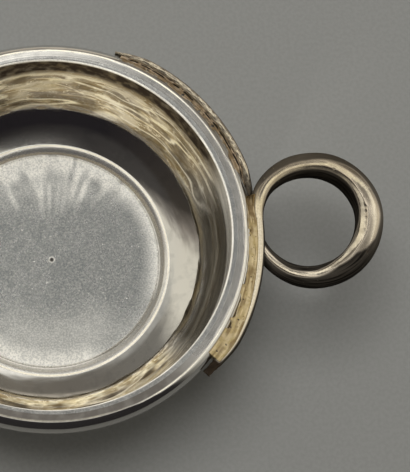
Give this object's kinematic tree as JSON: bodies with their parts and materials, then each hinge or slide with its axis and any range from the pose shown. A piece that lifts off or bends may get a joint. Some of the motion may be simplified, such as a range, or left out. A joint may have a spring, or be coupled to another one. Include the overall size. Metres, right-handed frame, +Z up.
{
  "type": "tastevin",
  "caption": "Shallow raised silver wine-tasting cup with a stepped flat well, a half-round wire rim and a finger ring forged from one looped bar that lies along the rim.",
  "frame": {"origin": "centre of the flat underside of the base, on the axis of the bowl", "axes": "+Z up out of the mouth, +X towards the finger ring, +Y towards the tail arm of the handle bar"},
  "size_m": [0.1103, 0.082, 0.0244],
  "materials": {
    "bowl_silver": "hammered silver, polished wall with warm tarnish and a matte, scratched well",
    "rim_silver": "worn silver, filed flat on top and burnished along its edges",
    "handle_silver": "forged silver polished by handling, tarnished in its hollows",
    "solder_yellow": "dull, finely pitted silver solder",
    "solder_brown": "rough, oxidised silver solder"
  },
  "bodies": {
    "root": {"bowl": "bowl_silver", "rim_wire": "rim_silver", "rim_solder": "solder_brown", "handle_bar": "handle_silver", "blunt_arm_solder": "solder_yellow", "tail_arm_solder": "solder_brown", "crossing_solder": "solder_brown"}
  },
  "joints": []
}
